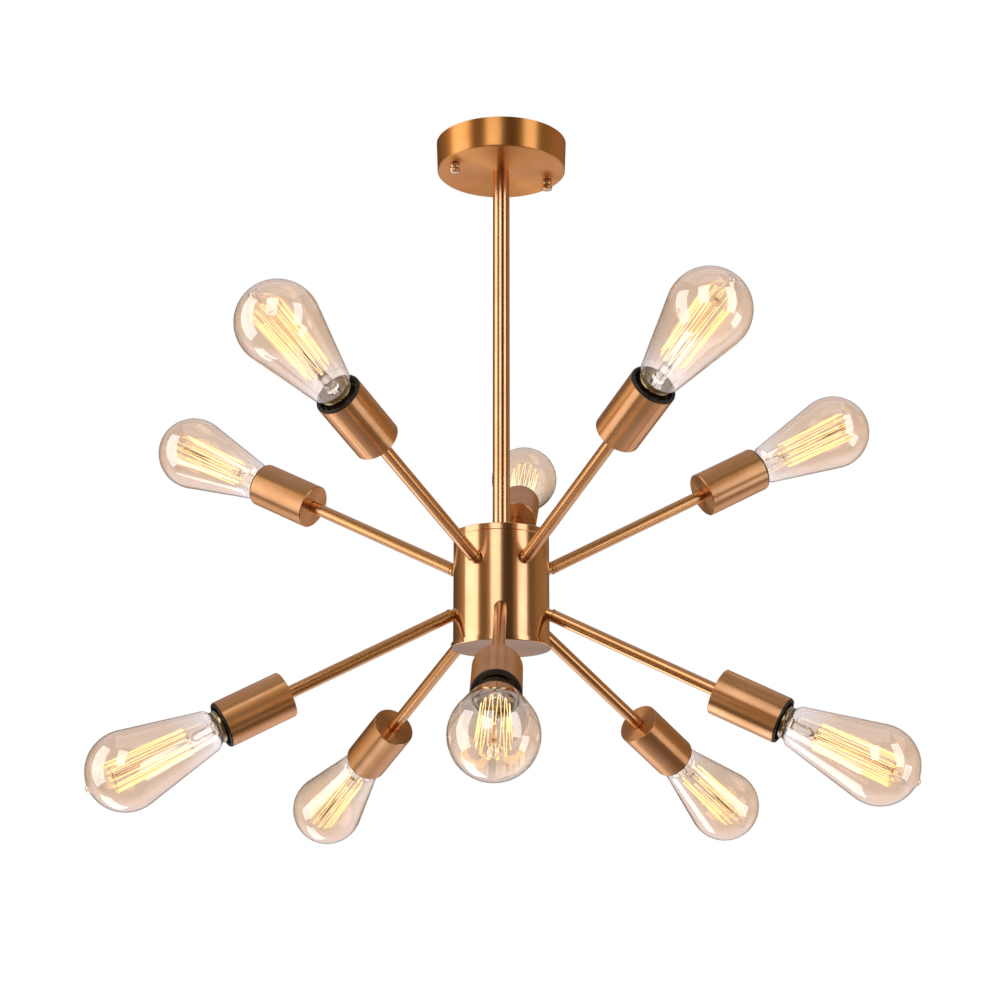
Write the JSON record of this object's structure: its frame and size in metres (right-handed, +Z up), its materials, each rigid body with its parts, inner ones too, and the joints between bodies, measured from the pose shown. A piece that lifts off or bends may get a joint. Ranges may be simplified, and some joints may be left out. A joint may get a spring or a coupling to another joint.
{
  "type": "multi arm chandelier",
  "caption": "Ceiling chandelier: a round canopy and straight rod carry a short drum from which straight tubular arms fan out, each ending in a cup socket with a bare teardrop filament lamp.",
  "frame": {"origin": "on the ceiling, at the middle of the mounting bar's upper face, where the rod's axis meets the ceiling", "axes": "+Z is up along the rod, out of the ceiling end of the fixture; -Y is the front of the fixture, +X is to its right seen from the front"},
  "size_m": [0.6477, 0.654, 0.6008],
  "materials": {
    "brushed_brass": "brushed and clear-lacquered antique brass",
    "brass_hardware": "turned and knurled brass, lacquered",
    "zinc_steel": "zinc-plated steel",
    "black_bakelite": "moulded black phenolic plastic, satin",
    "contact_brass": "stamped brass, bare",
    "amber_glass": "clear glass with a faint amber tint",
    "lamp_cap": "rolled brass screw cap",
    "cap_insulator": "black fused glass insulator",
    "cap_contact": "soldered tin contact",
    "filament": "glowing carbon filament",
    "filament_support": "fine nickel wire",
    "wire_insulation": "white insulation sleeve",
    "connector_plastic": "moulded twist-on connector"
  },
  "bodies": {
    "fixture": {"mounting_bar": "zinc_steel", "canopy": "brushed_brass", "mounting_studs": "zinc_steel", "stud_lock_nuts": "zinc_steel", "downrod": "brushed_brass", "canopy_nipple": "zinc_steel", "rod_washers": "zinc_steel", "rod_lock_nuts": "zinc_steel", "hub_lid": "brushed_brass", "hub_base_cap": "brushed_brass", "hub_body": "brushed_brass", "hub_tie_tube": "zinc_steel", "arm_tube_upper_1": "brushed_brass", "arm_tube_upper_2": "brushed_brass", "arm_tube_upper_3": "brushed_brass", "arm_tube_upper_4": "brushed_brass", "arm_tube_upper_5": "brushed_brass", "arm_tube_lower_1": "brushed_brass", "arm_tube_lower_2": "brushed_brass", "arm_tube_lower_3": "brushed_brass", "arm_tube_lower_4": "brushed_brass", "arm_tube_lower_5": "brushed_brass", "socket_cup_upper_1": "brushed_brass", "socket_cup_upper_2": "brushed_brass", "socket_cup_upper_3": "brushed_brass", "socket_cup_upper_4": "brushed_brass", "socket_cup_upper_5": "brushed_brass", "socket_cup_lower_1": "brushed_brass", "socket_cup_lower_2": "brushed_brass", "socket_cup_lower_3": "brushed_brass", "socket_cup_lower_4": "brushed_brass", "socket_cup_lower_5": "brushed_brass", "arm_collars": "brushed_brass", "arm_lock_nuts": "zinc_steel", "lampholders": "black_bakelite", "lampholder_contacts": "contact_brass", "lamp_wires": "wire_insulation", "wire_connectors": "connector_plastic"},
    "cap_nut_left": {"cap_nut_left": "brass_hardware"},
    "cap_nut_right": {"cap_nut_right": "brass_hardware"},
    "bulb_upper_1": {"bulb_glass_upper_1": "amber_glass", "bulb_base_upper_1": "lamp_cap"},
    "bulb_upper_2": {"bulb_glass_upper_2": "amber_glass", "bulb_base_upper_2": "lamp_cap"},
    "bulb_upper_3": {"bulb_glass_upper_3": "amber_glass", "bulb_base_upper_3": "lamp_cap"},
    "bulb_upper_4": {"bulb_glass_upper_4": "amber_glass", "bulb_base_upper_4": "lamp_cap"},
    "bulb_upper_5": {"bulb_glass_upper_5": "amber_glass", "bulb_base_upper_5": "lamp_cap"},
    "bulb_lower_1": {"bulb_glass_lower_1": "amber_glass", "bulb_base_lower_1": "lamp_cap"},
    "bulb_lower_2": {"bulb_glass_lower_2": "amber_glass", "bulb_base_lower_2": "lamp_cap"},
    "bulb_lower_3": {"bulb_glass_lower_3": "amber_glass", "bulb_base_lower_3": "lamp_cap"},
    "bulb_lower_4": {"bulb_glass_lower_4": "amber_glass", "bulb_base_lower_4": "lamp_cap"},
    "bulb_lower_5": {"bulb_glass_lower_5": "amber_glass", "bulb_base_lower_5": "lamp_cap"}
  },
  "joints": [
    {"name": "cap_nut_left_undo", "type": "slide", "parent": "fixture", "child": "cap_nut_left", "axis": [0, 0, -1], "range_m": [0, 0.006]},
    {"name": "cap_nut_right_undo", "type": "slide", "parent": "fixture", "child": "cap_nut_right", "axis": [0, 0, -1], "range_m": [0, 0.006]},
    {"name": "bulb_upper_1_unscrew", "type": "slide", "parent": "fixture", "child": "bulb_upper_1", "axis": [0.0665, 0.8454, 0.5299], "range_m": [0, 0.028]},
    {"name": "bulb_upper_2_unscrew", "type": "slide", "parent": "fixture", "child": "bulb_upper_2", "axis": [-0.8171, 0.3553, 0.454], "range_m": [0, 0.028]},
    {"name": "bulb_upper_3_unscrew", "type": "slide", "parent": "fixture", "child": "bulb_upper_3", "axis": [-0.4773, -0.7789, 0.4067], "range_m": [0, 0.028]},
    {"name": "bulb_upper_4_unscrew", "type": "slide", "parent": "fixture", "child": "bulb_upper_4", "axis": [0.4426, -0.7823, 0.4384], "range_m": [0, 0.028]},
    {"name": "bulb_upper_5_unscrew", "type": "slide", "parent": "fixture", "child": "bulb_upper_5", "axis": [0.8586, 0.2061, 0.4695], "range_m": [0, 0.028]},
    {"name": "bulb_lower_1_unscrew", "type": "slide", "parent": "fixture", "child": "bulb_lower_1", "axis": [-0.0153, -0.8745, -0.4848], "range_m": [0, 0.028]},
    {"name": "bulb_lower_2_unscrew", "type": "slide", "parent": "fixture", "child": "bulb_lower_2", "axis": [0.8565, -0.2456, -0.454], "range_m": [0, 0.028]},
    {"name": "bulb_lower_3_unscrew", "type": "slide", "parent": "fixture", "child": "bulb_lower_3", "axis": [0.6014, 0.6679, -0.4384], "range_m": [0, 0.028]},
    {"name": "bulb_lower_4_unscrew", "type": "slide", "parent": "fixture", "child": "bulb_lower_4", "axis": [-0.4763, 0.7622, -0.4384], "range_m": [0, 0.028]},
    {"name": "bulb_lower_5_unscrew", "type": "slide", "parent": "fixture", "child": "bulb_lower_5", "axis": [-0.8487, -0.2434, -0.4695], "range_m": [0, 0.028]}
  ]
}
